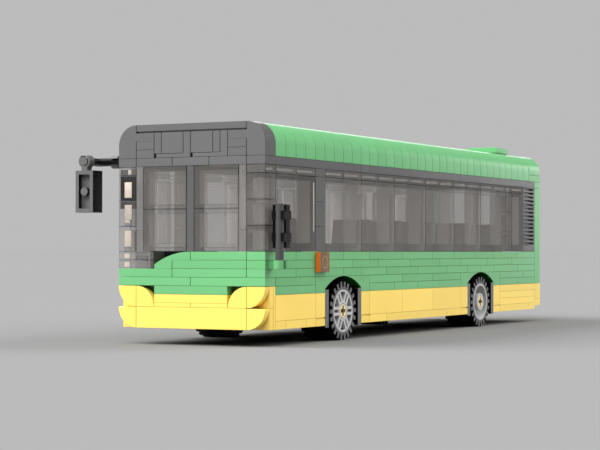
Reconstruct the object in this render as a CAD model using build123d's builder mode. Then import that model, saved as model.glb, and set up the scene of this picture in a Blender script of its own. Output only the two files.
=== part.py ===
"""City bus model put together from interlocking toy bricks.

Every piece sits on one grid: stud lines run along the bus from the nose and across it from the
left side, and plate levels run down from the roof. +X is forward, +Y is the bus's left, +Z is up,
and the origin lies on the ground under the middle of the body.
"""

import os
from math import cos, pi, sin

from build123d import *

os.makedirs("parts", exist_ok=True)

# Brick system, millimetres
PITCH = 8.0  # stud to stud
PLATE = 3.2  # height of one plate, and a brick is three of them
HALF_PLATE = 1.6  # thickness of a bracket's leg
SIDE_GAP = 0.1  # clearance on each upright face of a piece
FOOT_GAP = 0.08  # clearance under a piece that rests on another
STUD_R = 2.4  # stud radius, also the socket that takes one
STUD_RISE = 1.7
TUBE_R = 3.25  # outside of the tube under a plate
BAR_R = 1.6  # round bar held by a clip
CLIP_R = 2.6  # outside of a clip
CLIP_WIDTH = 3.2
CLIP_MOUTH = 2.4  # opening between the jaws of a clip
BAR_SIDES = 12  # facets round a bar and a clip
RUN_CLEAR = 0.05  # radial clearance of anything that turns
SHELL = 1.6  # wall of a clear panel
PANEL_END = 1.2  # end wall of a clear panel
CLEAR_WALL = 1.5  # wall of a hollow clear brick
GROOVE_RISE = 0.5  # groove round the foot of a tile
GROOVE_DEPTH = 0.6

# Body on the grid: lengths and widths in studs, heights in plates
LENGTH_STUDS = 36
WIDTH_STUDS = 8
BODY_PLATES = 24
AXLE_STUDS = (8, 26)  # stud lines of the front and rear axles
ARCH_HALF = 2  # half the wheel opening, studs
ARCH_CROWN = 18  # plate level of the top of a wheel opening
ARCH_SPRING = 19.5  # plate level where the arch starts to curve
DOORS = ((1, 5), (14, 18), (29, 33))  # stud spans of the doors, right side only
WINDOW_TOP = 6
WINDOW_SILL = 15
INDICATOR = (5, 6)  # stud span of the side indicator

# Wheels
TYRE_R = 11.6
TYRE_ROOT_R = 9.6  # bottom of the tread
TYRE_WIDTH = 14.0
LUGS = 22
LUG_WIDTH = 1.6
RIM_R = 8.5
RIM_LIP = 0.8
DISH_DEPTH = 3.2
DISH_TAPER = 38  # slope of a dished rim's face, degrees
HUB_R = 4.0
RIM_SIDES = 22  # facets round the seat of a tyre
HUB_SIDES = 16  # facets round a pin's seat
SPOKE_PAIRS = 6
SPOKE_WIDTH = 1.15
SPOKE_SPREAD = 2.3  # distance between the two ribs of a spoke
PIN_R = 2.4
PIN_HEAD = 1.2
PIN_HEAD_R = 2.7
HEAD_CLEAR = 0.3  # ring left open round a pin's head
AXLE_RISE = 5.4  # axle hole above the foot of its brick
WHEEL_INSET = 0.3  # outer face of a wheel inside the body's side

# Mirrors
MIRROR_REACH = 43.0  # middle of the right mirror from the bus's centre line
MIRROR_AHEAD = 6.9  # face of the right mirror ahead of the nose
MIRROR_DROP = 3.5  # top of the mirror below its clip's middle
ARM_SET_BACK = 3.4  # mirror arm behind the nose
ARM_LEVEL = 4.25  # plate level of the arm
STUB_PROUD = 0.3  # stub of the arm ahead of the mirror's clip
LEFT_BAR_OUT = 3.8  # upright bar of the left mirror outside the body
LEFT_BAR_STUDS = 3
LEFT_BAR_FOOT = 17  # plate level of the bar's foot

LENGTH = LENGTH_STUDS * PITCH
WIDTH = WIDTH_STUDS * PITCH
FLOOR_Z = TYRE_R - AXLE_RISE  # foot of the body above the ground
ROOF_Z = FLOOR_Z + BODY_PLATES * PLATE
ROOF_R = PITCH - 2 * SIDE_GAP  # round of the roof's edge
STUDS_PER_BRICK = 3 * PLATE / PITCH  # a brick laid on its side, in stud pitches
STUDS_PER_PLATE = PLATE / PITCH
STUD_IN_PLATES = PITCH / PLATE
ARCHES = tuple((axle - ARCH_HALF, axle + ARCH_HALF) for axle in AXLE_STUDS)


def x_at(stud):
    """Distance ahead of the middle for a stud line counted from the nose."""
    return LENGTH / 2 - stud * PITCH


def y_at(stud):
    """Distance left of the middle for a stud line counted from the left side."""
    return WIDTH / 2 - stud * PITCH


def z_at(level):
    """Height above the ground for a plate level counted down from the roof."""
    return ROOF_Z - level * PLATE


def lay(front, rear, left, right, top, foot):
    """Lays one plain brick between stud lines and plate levels."""
    middle = (x_at((front + rear) / 2), y_at((left + right) / 2), z_at((top + foot) / 2) + FOOT_GAP / 2)
    with Locations(middle):
        Box(
            (rear - front) * PITCH - 2 * SIDE_GAP,
            (right - left) * PITCH - 2 * SIDE_GAP,
            (foot - top) * PLATE - FOOT_GAP,
        )


def carve(front, rear, left, right, top, foot, wall=(0, 0, 0, 0, 0, 0)):
    """Cuts a hollow inside the same grid cell, leaving a wall on each of the six sides."""
    x_front, x_rear = x_at(front) - SIDE_GAP - wall[0], x_at(rear) + SIDE_GAP + wall[1]
    y_left, y_right = y_at(left) - SIDE_GAP - wall[2], y_at(right) + SIDE_GAP + wall[3]
    z_top, z_foot = z_at(top) - wall[4], z_at(foot) + wall[5]
    with Locations(((x_front + x_rear) / 2, (y_left + y_right) / 2, (z_top + z_foot) / 2)):
        Box(x_front - x_rear, y_left - y_right, z_top - z_foot, mode=Mode.SUBTRACT)


def lay_tile(front, rear, left, right, top, foot):
    """A smooth tile: a plate with a fine groove round its foot."""
    foot_rise = GROOVE_RISE / PLATE
    lay(front, rear, left, right, top, foot - foot_rise)
    foot_mid_z = z_at(foot) + FOOT_GAP + GROOVE_RISE / 2
    with Locations((x_at((front + rear) / 2), y_at((left + right) / 2), foot_mid_z)):
        Box(
            (rear - front) * PITCH - 2 * (SIDE_GAP + GROOVE_DEPTH),
            (right - left) * PITCH - 2 * (SIDE_GAP + GROOVE_DEPTH),
            GROOVE_RISE,
        )


def spans(seams, holes):
    """Stud spans between neighbouring seams, with the holes taken out."""
    stops = sorted({*seams, *(stop for hole in holes for stop in hole if seams[0] < stop < seams[-1])})
    return [
        (front, rear)
        for front, rear in zip(stops, stops[1:])
        if not any(hole[0] <= front and rear <= hole[1] for hole in holes)
    ]


def save(builder, name):
    """Names a finished piece and writes it."""
    builder.part.label = name
    export_step(builder.part, f"parts/{name}.step")


LEFT_WALL = (0, 1)
RIGHT_WALL = (WIDTH_STUDS - 1, WIDTH_STUDS)

# Side walls, course by course from the window sill down
ARCH_BRICKS = tuple((front - 1, rear + 1) for front, rear in ARCHES)
GREEN_COURSES = (
    # top level, seams, spans left open on both sides
    (15, (0, 3, 5, 6, 8, 11, 15, 19, 22, 25, 28, 32, 35), (INDICATOR,)),
    (16, (1, 5, 6, 9, 12, 16, 20, 23, 27, 31, 35), (INDICATOR,)),
    (17, (0, 3, 5, 6, 10, 13, 17, 21, 24, 28, 32, 35), (INDICATOR, *ARCHES)),
    (18, (1, 5, 11, 15, 19, 23, 29, 33, 35), ARCH_BRICKS),
    (19, (1, 5, 11, 14, 17, 20, 23, 29, 32, 35), ARCH_BRICKS),
)
RIGHT_CORNER = ((0, 1),)  # the front's own pieces reach round the right corner
with BuildPart() as green_walls:
    for top, seams, holes in GREEN_COURSES:
        for front, rear in spans(seams, holes):
            lay(front, rear, *LEFT_WALL, top, top + 1)
        for front, rear in spans(seams, (*holes, *DOORS, *RIGHT_CORNER)):
            lay(front, rear, *RIGHT_WALL, top, top + 1)
    for near, far in (LEFT_WALL, RIGHT_WALL):
        lay(*INDICATOR, near, far, 15, 18)
save(green_walls, "green_walls")

YELLOW_COURSES = (
    # top level, foot level, seams
    (20, 23, (1, 5, 6, 10, 11, 15, 19, 23, 24, 28, 29)),
    (20, 21, (29, 35)),
    (21, 22, (29, 35)),
    (22, 23, (29, 35)),
    (23, 24, (1, 2, 4, 5, 6, 10, 11, 13, 17, 21, 23, 24, 28, 29, 30, 34, 35)),
)
with BuildPart() as yellow_walls:
    for top, foot, seams in YELLOW_COURSES:
        for front, rear in spans(seams, ARCHES):
            lay(front, rear, *LEFT_WALL, top, foot)
        for front, rear in spans(seams, (*ARCHES, *DOORS)):
            lay(front, rear, *RIGHT_WALL, top, foot)
    for front, rear in ARCHES:
        for stud in (front - 0.5, rear + 0.5):
            for side in (1, -1):
                with Locations((x_at(stud), side * WIDTH / 2, z_at(23) - FOOT_GAP)):
                    Box(PITCH, 2 * GROOVE_DEPTH, GROOVE_RISE, mode=Mode.SUBTRACT)
save(yellow_walls, "yellow_walls")

# Bricks with an arch over each wheel, in two halves
with BuildPart() as wheel_arches:
    for front, rear in ARCHES:
        for near, far in (LEFT_WALL, RIGHT_WALL):
            lay(front, rear, near, far, ARCH_CROWN - 1, ARCH_CROWN)
            lay(front - 1, rear + 1, near, far, ARCH_CROWN, ARCH_CROWN + 2)
            half = ARCH_HALF * PITCH
            rise = (ARCH_SPRING - ARCH_CROWN) * PLATE
            with BuildSketch(Plane.XZ.offset(-y_at(near) - 1)):
                with BuildLine():
                    spring_left = (x_at(rear), z_at(ARCH_SPRING))
                    spring_right = (x_at(front), z_at(ARCH_SPRING))
                    crown = (x_at((front + rear) / 2), z_at(ARCH_CROWN))
                    ThreePointArc(spring_left, crown, spring_right)
                    Polyline(
                        spring_right,
                        (x_at(front), z_at(ARCH_CROWN + 3)),
                        (x_at(rear), z_at(ARCH_CROWN + 3)),
                        spring_left,
                    )
                make_face()
            extrude(amount=PITCH + 2, mode=Mode.SUBTRACT)
            with Locations((x_at((front + rear) / 2), y_at((near + far) / 2), z_at(ARCH_CROWN))):
                Box(2 * SIDE_GAP, PITCH, 4 * PLATE, mode=Mode.SUBTRACT)
save(wheel_arches, "wheel_arches")

# Floor, with its underside open like any plate's
SOCKETS = ((17, 3), (19, 3), (17, 5), (19, 5))  # stud lines of the four sockets under the floor
FLOOR = (
    # front, rear, left, right
    (1, 6, 1, 7),
    (6, 10, 3, 5),
    (10, 24, 1, 7),
    (24, 28, 3, 5),
    (28, 35, 1, 7),
)
with BuildPart() as floor_plates:
    for front, rear, left, right in FLOOR:
        lay(front, rear, left, right, 23, 24)
        carve(front, rear, left, right, 23, 24, (SHELL, SHELL, SHELL, SHELL, HALF_PLATE, 0))
    with BuildSketch(Plane.XY.offset(z_at(24))):
        with Locations(*((x_at(stud), y_at(line)) for stud, line in SOCKETS)):
            RegularPolygon(TUBE_R, BAR_SIDES)
    extrude(amount=HALF_PLATE)
    with Locations(*((x_at(stud), y_at(line), z_at(24)) for stud, line in SOCKETS)):
        Cylinder(STUD_R, HALF_PLATE, align=(Align.CENTER, Align.CENTER, Align.MIN), mode=Mode.SUBTRACT)
save(floor_plates, "floor_plates")

# Bricks that carry the wheel pins
with BuildPart() as axle_bricks:
    for axle in AXLE_STUDS:
        for left, right in ((2, 3), (5, 6)):
            lay(axle - ARCH_HALF, axle + ARCH_HALF, left, right, 21, 24)
        with BuildSketch(Plane.XZ):
            with Locations((x_at(axle), TYRE_R)):
                RegularPolygon(PIN_R + RUN_CLEAR, HUB_SIDES, major_radius=False)
        extrude(amount=WIDTH / 2, both=True, mode=Mode.SUBTRACT)
save(axle_bricks, "axle_bricks")

# Wheel wells behind the arches, and the dark plates that line each opening
with BuildPart() as wheel_wells:
    for front, rear in ARCHES:
        for inner, outer in (((2, 3), (1, 2)), ((5, 6), (6, 7))):
            lay(front, rear, *inner, 17, 21)
            lay(front, rear, *outer, 17, 18)
            lay(front - 1, front, *outer, 17, 23)
            lay(rear, rear + 1, *outer, 17, 23)
save(wheel_wells, "wheel_wells")
LINER_TOP = 19.25
with BuildPart() as arch_liners:
    for front, rear in ARCHES:
        for near, far in (LEFT_WALL, RIGHT_WALL):
            for edge in (front, rear - STUDS_PER_PLATE):
                lay(edge, edge + STUDS_PER_PLATE, near, far, LINER_TOP + 0.35, LINER_TOP + 2 * STUD_IN_PLATES)
save(arch_liners, "arch_liners")


def lay_panel(front, rear, left, right, top, foot, face):
    """A clear panel: a thin face on one side, with a base, a head and end walls behind it."""
    lay(front, rear, left, right, top, foot)
    walls = {
        # side of the thin face: walls at front, rear, left, right, top, foot
        "left": (PANEL_END, PANEL_END, SHELL, 0, HALF_PLATE, PLATE),
        "right": (PANEL_END, PANEL_END, 0, SHELL, HALF_PLATE, PLATE),
        "front": (SHELL, 0, PANEL_END, PANEL_END, HALF_PLATE, HALF_PLATE),
        "rear": (0, SHELL, PANEL_END, PANEL_END, HALF_PLATE, PLATE),
    }
    carve(front, rear, left, right, top, foot, walls[face])


WINDOWS = ((1, 5), (6, 10), (10, 14), (14, 18), (18, 22), (22, 26), (26, 30), (31, 33))
RIGHT_WINDOWS = ((6, 10), (10, 14), (18, 22), (22, 25), (25, 28))
with BuildPart() as side_windows:
    for front, rear in WINDOWS:
        lay_panel(front, rear, *LEFT_WALL, WINDOW_TOP, WINDOW_SILL, "left")
    for front, rear in RIGHT_WINDOWS:
        lay_panel(front, rear, *RIGHT_WALL, WINDOW_TOP, WINDOW_SILL, "right")
save(side_windows, "side_windows")

with BuildPart() as doors:
    for front, rear in DOORS:
        middle = (front + rear) / 2
        for leaf in ((front, middle), (middle, rear)):
            lay_panel(*leaf, *RIGHT_WALL, WINDOW_TOP, WINDOW_SILL, "right")
            lay_panel(*leaf, *RIGHT_WALL, WINDOW_SILL, 24, "right")
save(doors, "doors")

# Smoke plates in a row over the windows
with BuildPart() as header_plates:
    for front in (0, 1, 3, 6, 8, 10, 12, 14, 16, 18, 20, 22, 24, 26, 28, 30, 31):
        rear = front + (1 if front in (0, 30) else 2)
        for near, far in (LEFT_WALL, RIGHT_WALL):
            lay(front, rear, near, far, 5, WINDOW_TOP)
save(header_plates, "header_plates")

# Hollow clear bricks at the front corners and near the rear, three to a column
POSTS = ((0, LEFT_WALL), (0, RIGHT_WALL), (30, LEFT_WALL))
with BuildPart() as clear_posts:
    for stud, (near, far) in POSTS:
        for top in (6, 9, 12):
            lay(stud, stud + 1, near, far, top, top + 3)
            carve(stud, stud + 1, near, far, top, top + 3, (CLEAR_WALL,) * 5 + (0,))
save(clear_posts, "clear_posts")

# Solid window posts: stud, side
GREY_POSTS = ((5, LEFT_WALL), (5, RIGHT_WALL), (28, RIGHT_WALL), (33, RIGHT_WALL), (34, RIGHT_WALL))
with BuildPart() as grey_posts:
    for stud, (near, far) in GREY_POSTS:
        if stud == 5 or stud > 32:
            lay(stud, stud + 1, near, far, 5, WINDOW_TOP)
        for top in (6, 9, 12):
            lay(stud, stud + 1, near, far, top, top + 3)
    lay(33, 35, *LEFT_WALL, 14, 15)
save(grey_posts, "grey_posts")

# Grey cornice under the roof's edge
with BuildPart() as cornice:
    for first, (near, far) in ((0, LEFT_WALL), (1, RIGHT_WALL)):
        for front, rear in spans((first, 10, 11, 23, 35), ()):
            lay(front, rear, near, far, 4, 5)
save(cornice, "cornice")


def edge_brick(front, rear, foot, chords):
    """A rounded roof edge brick on the left side, with a tongue that reaches one stud in."""
    outer = y_at(0) - SIDE_GAP
    inner = y_at(1) + SIDE_GAP
    tongue = y_at(2) + SIDE_GAP
    turns = (step * pi / 2 / chords for step in range(chords + 1))
    round_over = [(inner + ROOF_R * cos(turn), z_at(0) - ROOF_R + ROOF_R * sin(turn)) for turn in turns]
    with BuildPart() as brick:
        with BuildSketch(Plane.YZ.offset(x_at(rear) + SIDE_GAP)):
            with BuildLine():
                Polyline(
                    *round_over,
                    (inner, z_at(1)),
                    (tongue, z_at(1)),
                    (tongue, z_at(2)),
                    (inner, z_at(2)),
                    (inner, z_at(foot) + FOOT_GAP),
                    (outer, z_at(foot) + FOOT_GAP),
                    round_over[0],
                )
            make_face()
        extrude(amount=(rear - front) * PITCH - 2 * SIDE_GAP)
    return brick.part


EDGE_FIRST, EDGE_LAST = 1, 34
EDGE_CHORDS, CORNER_CHORDS = 5, 12
first_edge = edge_brick(EDGE_FIRST, EDGE_FIRST + 1, 4, EDGE_CHORDS)
with BuildPart() as roof_edges_left:
    with Locations(*((-PITCH * step, 0, 0) for step in range(EDGE_LAST - EDGE_FIRST))):
        add(first_edge)
save(roof_edges_left, "roof_edges_left")
with BuildPart() as roof_edges_right:
    mirror(roof_edges_left.part, about=Plane.XZ)
save(roof_edges_right, "roof_edges_right")

with BuildPart() as roof_corners_front:
    corner = edge_brick(0, 1, 4, CORNER_CHORDS)
    add(corner)
    mirror(corner, about=Plane.XZ)
save(roof_corners_front, "roof_corners_front")

with BuildPart() as roof_corners_rear:
    corner = edge_brick(34, 36, 3, CORNER_CHORDS)
    add(corner)
    mirror(corner, about=Plane.XZ)
    for near, far in (LEFT_WALL, RIGHT_WALL):
        lay(34, 36, near, far, 3, 4)
        lay(35, 36, near, far, 4, 5)
save(roof_corners_rear, "roof_corners_rear")

# Flat of the roof: tiles on top, plates between the edge bricks below them
with BuildPart() as roof_tiles:
    for front, rear in spans((1, 7, 13, 19, 25, 31, 36), ()):
        for left, right in ((1, 4), (4, 7)):
            lay(front, rear, left, right, 0, 1)
save(roof_tiles, "roof_tiles")
with BuildPart() as roof_plates:
    for front, rear in spans((1, 9, 17, 25, 36), ()):
        lay(front, rear, 2, 6, 1, 2)
save(roof_plates, "roof_plates")
with BuildPart() as roof_unit:
    lay_tile(31, 33, 1, 3, -1, 0)
save(roof_unit, "roof_unit")

# Front, top down

# Sign: two brackets side by side, each with an upright leg at its left and a foot that ends short of the
# next, and pieces on their sides in the pocket of each, given from the leg to the right by their widths
SIGN_TOP = 1
SIGN_FOOT = SIGN_TOP + STUD_IN_PLATES
SIGN_NOTCH = 0.1
SIGN_POCKETS = (
    # left stud of the bracket, widths in its pocket
    (2, (STUDS_PER_PLATE, STUDS_PER_BRICK)),
    (4, (STUDS_PER_BRICK, STUDS_PER_PLATE)),
)
with BuildPart() as front_sign:
    for left, _ in SIGN_POCKETS:
        lay(0, 1, left, left + 2 - SIGN_NOTCH, SIGN_TOP, 4)
        pocket_y = (y_at(left + STUDS_PER_PLATE) + SIDE_GAP, y_at(left + 2))
        with Locations((x_at(0.5), sum(pocket_y) / 2, z_at((SIGN_TOP + SIGN_FOOT) / 2))):
            Box(PITCH, pocket_y[0] - pocket_y[1], PITCH + FOOT_GAP, mode=Mode.SUBTRACT)
    for left, widths in SIGN_POCKETS:
        edge = left + STUDS_PER_PLATE
        for breadth in widths:
            lay(0, 1, edge, edge + breadth, SIGN_TOP, SIGN_FOOT)
            edge = edge + breadth
save(front_sign, "front_sign")
with BuildPart() as front_cornice:
    lay_tile(0, 1, 1, 7, 0, 1)
    for left, right in ((1, 2), (6, 7)):
        for top in (2, 3):
            lay(0, 1, left, right, top, top + 1)
    for left, right in ((1, 3), (3, 5), (5, 7)):
        lay(0, 1, left, right, 4, 5)
save(front_cornice, "front_cornice")

# Windscreen: four panels either side of a post, with a strip at each end
SCREEN_TOP, SCREEN_FOOT = 5, WINDOW_SILL
SCREEN_SPLIT = (SCREEN_TOP + SCREEN_FOOT) / 2
PANE = 2 * STUDS_PER_BRICK
POST_HALF = STUDS_PER_PLATE / 2
with BuildPart() as windscreen:
    for left in (4 - POST_HALF - PANE, 4 + POST_HALF):
        lay_panel(0, 1, left, left + PANE, SCREEN_TOP, SCREEN_SPLIT, "front")
        lay_panel(0, 1, left, left + PANE, SCREEN_SPLIT, SCREEN_FOOT, "front")
save(windscreen, "windscreen")
with BuildPart() as windscreen_posts:
    lay(0, 1, 4 - POST_HALF, 4 + POST_HALF, SCREEN_TOP, SCREEN_FOOT)
    for left in (1, 7 - STUDS_PER_PLATE):
        lay(0, 1, left, left + STUDS_PER_PLATE, SCREEN_TOP, SCREEN_TOP + STUD_IN_PLATES)
        lay(0, 1, left, left + STUDS_PER_PLATE, SCREEN_TOP + STUD_IN_PLATES, SCREEN_FOOT - STUD_IN_PLATES)
        lay(0, 1, left, left + STUDS_PER_PLATE, SCREEN_FOOT - STUD_IN_PLATES, SCREEN_FOOT)
save(windscreen_posts, "windscreen_posts")

with BuildPart() as front_clear_plates:
    lay(0, 1, 6, 7, 15, 16)
    lay(0, 1, 7, 8, 15, 16)
    lay(0, 1, 6, 8, 16, 17)
save(front_clear_plates, "front_clear_plates")

# Green slope that falls towards the right, over an L-shaped foot
with BuildPart() as front_slope:
    with BuildSketch(Plane.YZ.offset(x_at(1) + SIDE_GAP)):
        with BuildLine():
            high = (y_at(4) - SIDE_GAP, z_at(15))
            low = (y_at(6) + SIDE_GAP, z_at(16.5))
            ThreePointArc(high, (y_at(5), z_at(15.35)), low)
            Polyline(
                low,
                (y_at(6) + SIDE_GAP, z_at(17)),
                (y_at(5) - SIDE_GAP, z_at(17)),
                (y_at(5) - SIDE_GAP, z_at(16)),
                (y_at(4) - SIDE_GAP, z_at(16)),
                high,
            )
        make_face()
    extrude(amount=PITCH - 2 * SIDE_GAP)
save(front_slope, "front_slope")
FRONT_GREEN = (
    # left, right, top, foot
    (1, 4, 15, 16),
    (1, 5, 16, 17),
    (1, 5, 17, 18),
    (5, 8, 17, 18),
    (0, 4, 18, 19),
    (4, 8, 18, 19),
    (2, 6, 19, 20),
)
with BuildPart() as front_green:
    for left, right, top, foot in FRONT_GREEN:
        lay(0, 1, left, right, top, foot)
save(front_green, "front_green")

# Nose: rounded tiles on plates, carried by upright bracket legs
NOSE_TOP = 19
NOSE_MID = NOSE_TOP + STUD_IN_PLATES
NOSE_FOOT = NOSE_MID + STUD_IN_PLATES
TILE_BACK = STUDS_PER_PLATE
PLATE_BACK = 2 * STUDS_PER_PLATE
LEG_BACK = PLATE_BACK + HALF_PLATE / PITCH
with BuildPart() as nose_centre:
    lay(0, 1, 2, 6, 20, 21)
    for left, right in ((2, 4), (4, 6)):
        lay(0, PLATE_BACK, left, right, 21, NOSE_MID)
    lay(0, TILE_BACK, 1, 7, NOSE_MID, NOSE_FOOT)
save(nose_centre, "nose_centre")

QUARTERS = (
    # left stud, right stud, top level, corner that the round leaves open: y side, z side
    (0, 1, NOSE_TOP, 1, -1),
    (1, 2, NOSE_TOP, -1, 1),
    (6, 7, NOSE_TOP, 1, 1),
    (7, 8, NOSE_TOP, -1, -1),
    (0, 1, NOSE_MID, 1, -1),
    (7, 8, NOSE_MID, -1, -1),
)
with BuildPart() as nose_tiles:
    for left, right, top, y_side, z_side in QUARTERS:
        middle = ((y_at(left) + y_at(right)) / 2, z_at(top + STUD_IN_PLATES / 2))
        reach = PITCH / 2 - SIDE_GAP
        with BuildSketch(Plane.YZ.offset(x_at(TILE_BACK) + SIDE_GAP)):
            with Locations((middle[0] - y_side * reach, middle[1] - z_side * reach)):
                Circle(2 * reach)
            with Locations(middle):
                Rectangle(2 * reach, 2 * reach, mode=Mode.INTERSECT)
        extrude(amount=PLATE - 2 * SIDE_GAP)
save(nose_tiles, "nose_tiles")
with BuildPart() as nose_backing:
    lay(TILE_BACK, PLATE_BACK, 0, 2, NOSE_TOP, NOSE_MID)
    lay(TILE_BACK, PLATE_BACK, 6, 8, NOSE_TOP, NOSE_MID)
    lay(TILE_BACK, PLATE_BACK, 0, 4, NOSE_MID, NOSE_FOOT)
    lay(TILE_BACK, PLATE_BACK, 4, 8, NOSE_MID, NOSE_FOOT)
    for left, right, top in ((0, 2, NOSE_TOP), (2, 4, 21), (4, 6, 21), (6, 8, NOSE_TOP)):
        lay(PLATE_BACK, LEG_BACK, left, right, top, NOSE_FOOT)
save(nose_backing, "nose_backing")

# Side indicators, each a tile standing out from the wall
INDICATOR_PROUD = 2.0
with BuildPart() as indicators:
    for side in (1, -1):
        with Locations(
            (x_at(sum(INDICATOR) / 2), side * (WIDTH / 2 - SIDE_GAP), z_at(15 + STUD_IN_PLATES / 2))
        ):
            Box(
                PITCH - 2 * SIDE_GAP,
                INDICATOR_PROUD,
                PITCH - 2 * SIDE_GAP,
                align=(Align.CENTER, Align.MIN if side > 0 else Align.MAX, Align.CENTER),
            )
save(indicators, "indicators")

# Slatted grille on the left near the rear
GRILLE_TOP = 5
SLATS = 5
SLAT_RISE = 0.9
SLAT_DEPTH = 1.2
with BuildPart() as side_grille:
    for step in range(3):
        top = GRILLE_TOP + 3 * step
        lay(33, 35, *LEFT_WALL, top, top + 3)
        pitch = 3 * PLATE / SLATS
        with Locations(
            *(
                (x_at(34), y_at(0) - SIDE_GAP, z_at(top) - pitch * (row + 0.5))
                for row in range(SLATS)
            )
        ):
            Box(
                2 * PITCH - 2 * SIDE_GAP - 2 * SHELL,
                2 * SLAT_DEPTH,
                SLAT_RISE,
                mode=Mode.SUBTRACT,
            )
save(side_grille, "side_grille")

# Rear: columns, window, wall, grille, lamps, bumper
REAR_PANES = ((1, 4), (4, 7))
with BuildPart() as rear_window:
    for left, right in REAR_PANES:
        lay_panel(35, 36, left, right, 5, 14, "rear")
save(rear_window, "rear_window")
REAR_GREEN = (
    # left, right, top, foot
    (0, 1, 5, 20),
    (7, 8, 5, 20),
    (1, 7, 2, 3),
    (1, 4, 3, 5),
    (4, 7, 3, 5),
    (1, 4, 14, 15),
    (4, 7, 14, 15),
    (1, 2, 15, 20),
    (6, 7, 15, 20),
)
REAR_TILES = ((0.2, 4), (4, 7.8))  # tiles on their sides over the rear window
with BuildPart() as rear_wall:
    for left, right, top, foot in REAR_GREEN:
        lay(35, 36, left, right, top, foot)
    for left, right in REAR_TILES:
        lay(36, 36 + STUDS_PER_PLATE, left, right, 1, 1 + STUD_IN_PLATES)
save(rear_wall, "rear_wall")
REAR_SLATS = 8
with BuildPart() as rear_grille:
    lay(35, 36, 2, 6, 15, 20)
    pitch = 5 * PLATE / REAR_SLATS
    with Locations(
        *((x_at(36) + SIDE_GAP, 0, z_at(15) - pitch * (row + 0.5)) for row in range(REAR_SLATS))
    ):
        Box(2 * SLAT_DEPTH, 4 * PITCH - 2 * SIDE_GAP - 2 * SHELL, SLAT_RISE, mode=Mode.SUBTRACT)
save(rear_grille, "rear_grille")
REAR_BUMPER = (
    # left, right, top, foot
    (0, 1, 20, 22.5),
    (1, 4, 20, 22.5),
    (4, 7, 20, 22.5),
    (7, 8, 20, 22.5),
    (0, 4, 22.5, 23.5),
    (4, 8, 22.5, 23.5),
)
with BuildPart() as rear_bumper:
    for left, right, top, foot in REAR_BUMPER:
        lay(35, 36, left, right, top, foot)
save(rear_bumper, "rear_bumper")
LAMP_PROUD = 1.6
with BuildPart() as tail_lamps:
    for stud in (1.5, 6.5):
        for top in (15, 17.5):
            with Locations((x_at(36) + SIDE_GAP, y_at(stud), z_at(top + STUD_IN_PLATES / 2))):
                Box(
                    LAMP_PROUD,
                    PITCH - 2 * SIDE_GAP,
                    PITCH - 2 * SIDE_GAP,
                    align=(Align.MAX, Align.CENTER, Align.CENTER),
                )
save(tail_lamps, "tail_lamps")

# Wheels: axle stud, side (1 left, -1 right), name
WHEELS = (
    (AXLE_STUDS[0], 1, "front_left"),
    (AXLE_STUDS[0], -1, "front_right"),
    (AXLE_STUDS[1], 1, "rear_left"),
    (AXLE_STUDS[1], -1, "rear_right"),
)
WHEEL_FACE = WIDTH / 2 - WHEEL_INSET

# Tyre on the left, outer face at y = 0, hub line on Y: two rows of lugs, half a step apart
LUG_RISE = TYRE_R - TYRE_ROOT_R
with BuildPart() as tyre_left:
    for row in (0, 1):
        with BuildSketch(Plane.XZ.offset(row * TYRE_WIDTH / 2)):
            RegularPolygon(TYRE_ROOT_R, LUGS, rotation=row * 180 / LUGS)
            with PolarLocations(TYRE_ROOT_R, LUGS, start_angle=row * 180 / LUGS):
                Rectangle(2 * LUG_RISE, LUG_WIDTH)
            RegularPolygon(RIM_R + RUN_CLEAR, RIM_SIDES, mode=Mode.SUBTRACT)
        extrude(amount=TYRE_WIDTH / 2)

# Spoked rim, outer face at y = 0
with BuildPart() as rim_spoked:
    with BuildSketch(Plane.XZ):
        RegularPolygon(RIM_R, RIM_SIDES)
        RegularPolygon(PIN_R + RUN_CLEAR, HUB_SIDES, major_radius=False, mode=Mode.SUBTRACT)
    extrude(amount=TYRE_WIDTH)
    with BuildSketch(Plane.XZ):
        RegularPolygon(RIM_R - RIM_LIP, RIM_SIDES)
        RegularPolygon(HUB_R, HUB_SIDES, mode=Mode.SUBTRACT)
        with PolarLocations(0, SPOKE_PAIRS):
            with Locations((RIM_R / 2, SPOKE_SPREAD / 2), (RIM_R / 2, -SPOKE_SPREAD / 2)):
                Rectangle(RIM_R, SPOKE_WIDTH, mode=Mode.SUBTRACT)
    extrude(amount=DISH_DEPTH, mode=Mode.SUBTRACT)
    with BuildSketch(Plane.XZ):
        RegularPolygon(PIN_HEAD_R + HEAD_CLEAR, HUB_SIDES)
    extrude(amount=PIN_HEAD + RUN_CLEAR, mode=Mode.SUBTRACT)

# Dished rim: the face falls away from the lip towards a raised hub
with BuildPart() as rim_dished:
    with BuildSketch(Plane.XZ):
        RegularPolygon(RIM_R, RIM_SIDES)
        RegularPolygon(PIN_R + RUN_CLEAR, HUB_SIDES, major_radius=False, mode=Mode.SUBTRACT)
    extrude(amount=TYRE_WIDTH)
    with BuildSketch(Plane.XZ):
        RegularPolygon(RIM_R - RIM_LIP, RIM_SIDES)
    extrude(amount=DISH_DEPTH, taper=DISH_TAPER, mode=Mode.SUBTRACT)
    with BuildSketch(Plane.XZ):
        RegularPolygon(HUB_R, HUB_SIDES)
        RegularPolygon(PIN_R + RUN_CLEAR, HUB_SIDES, major_radius=False, mode=Mode.SUBTRACT)
    extrude(amount=DISH_DEPTH)
    with BuildSketch(Plane.XZ):
        RegularPolygon(PIN_HEAD_R + HEAD_CLEAR, HUB_SIDES)
    extrude(amount=PIN_HEAD + RUN_CLEAR, mode=Mode.SUBTRACT)

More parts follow.
